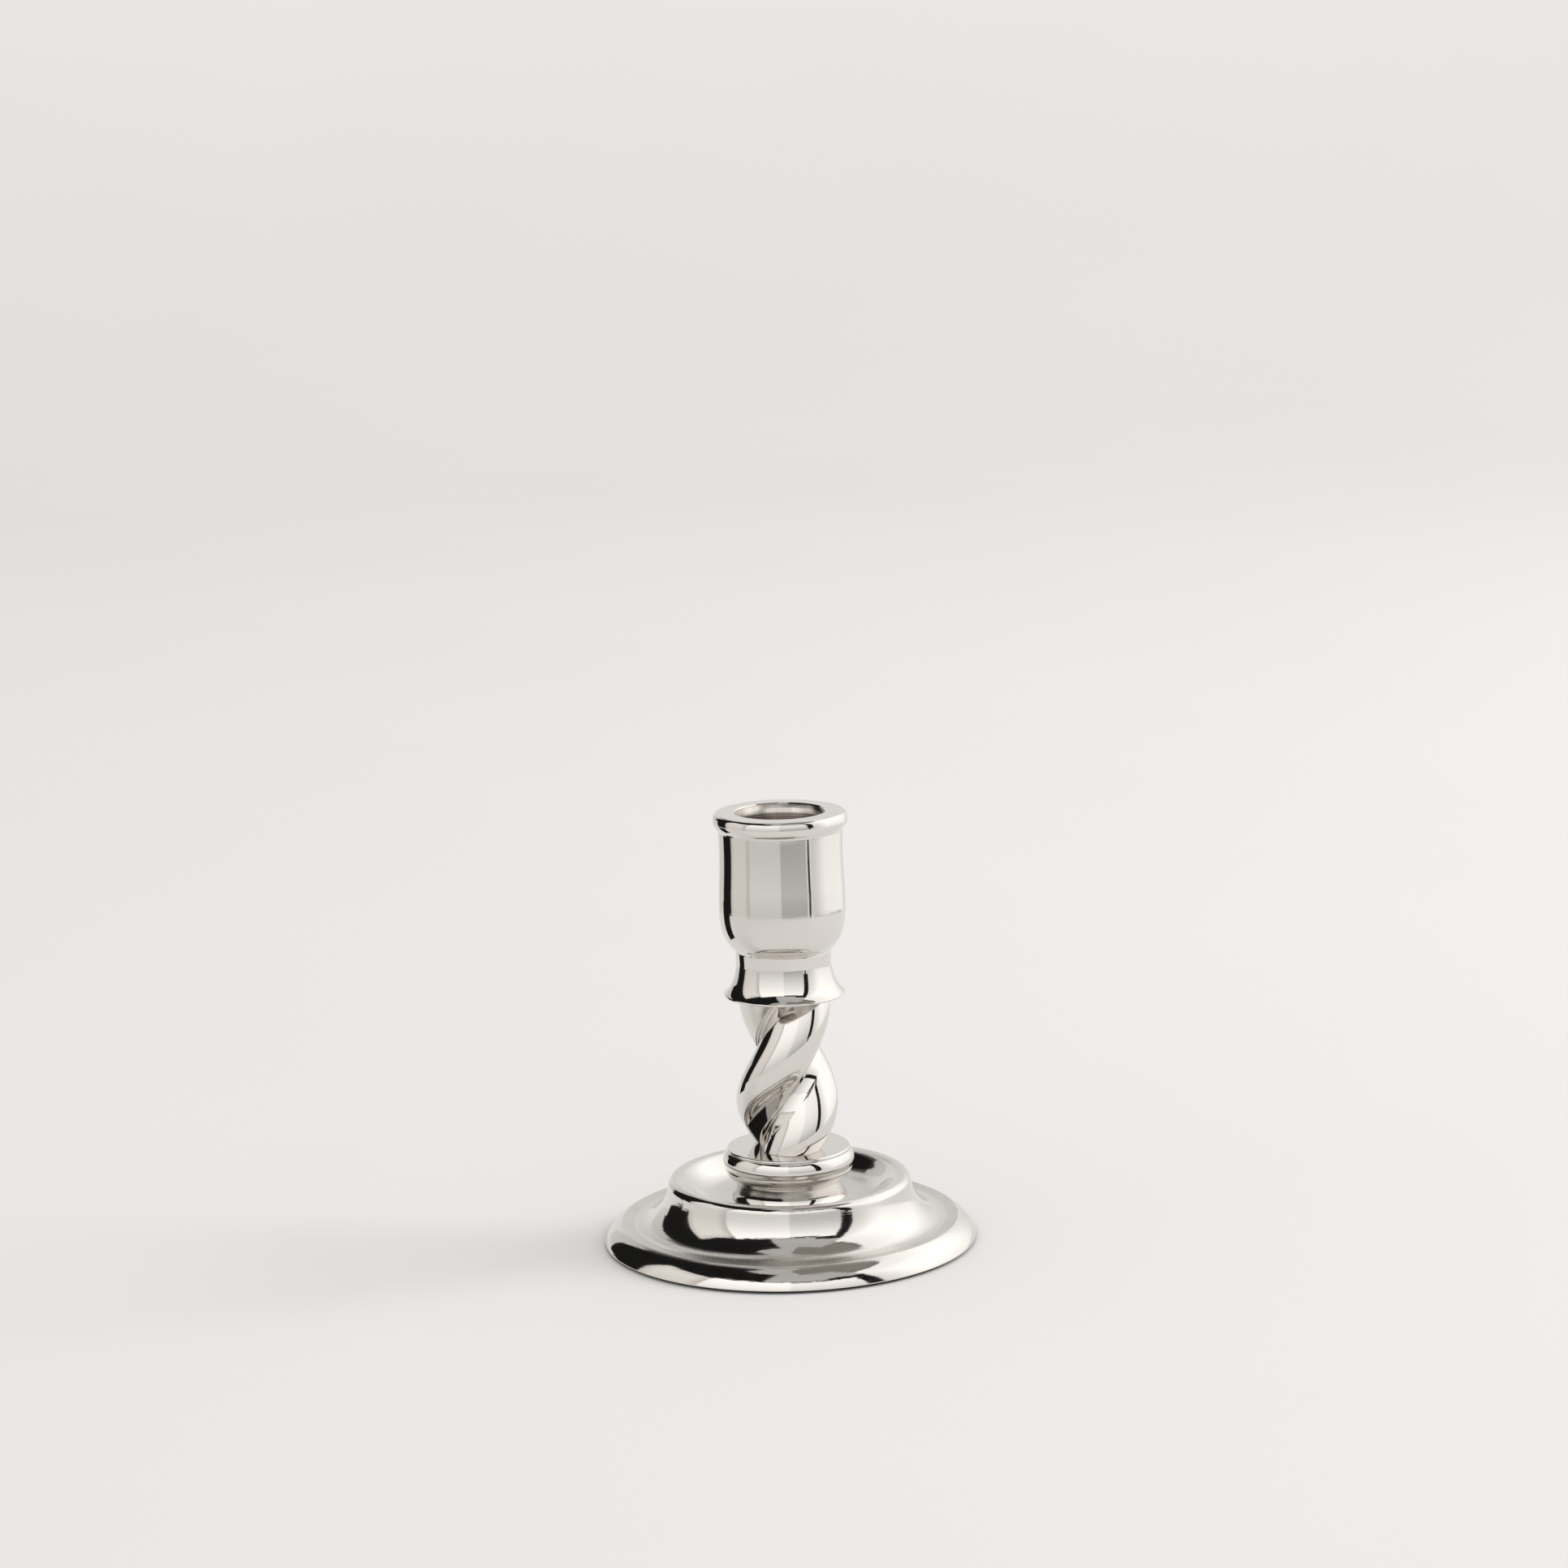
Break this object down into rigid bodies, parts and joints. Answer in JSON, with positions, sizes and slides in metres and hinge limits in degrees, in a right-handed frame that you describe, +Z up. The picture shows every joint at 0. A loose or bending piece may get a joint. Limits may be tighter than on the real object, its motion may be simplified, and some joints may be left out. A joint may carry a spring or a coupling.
{
  "type": "candlestick",
  "caption": "Short candlestick with a saucer foot, moulded collar, two-strand twisted stem, flared skirt and a thick-walled cup with a socket for a dinner candle.",
  "frame": {"origin": "centre of the face that the candlestick stands on", "axes": "+Z up along the stem's axis to the candle socket, +X to the viewer's right, +Y away from the viewer"},
  "size_m": [0.096, 0.096, 0.1125],
  "materials": {
    "silver_plate": "mirror-polished silver plate",
    "felt": "dense wool felt",
    "zinc_steel": "bright zinc plate",
    "spring_steel": "dark oiled spring steel"
  },
  "bodies": {
    "root": {"foot": "silver_plate", "pedestal": "silver_plate", "collar": "silver_plate", "twisted_stem": "silver_plate", "skirt": "silver_plate", "candle_cup": "silver_plate", "felt_ring": "felt", "tie_rod": "zinc_steel", "clamp_washer": "zinc_steel", "lock_washer": "spring_steel", "hex_nut": "zinc_steel"}
  },
  "joints": []
}
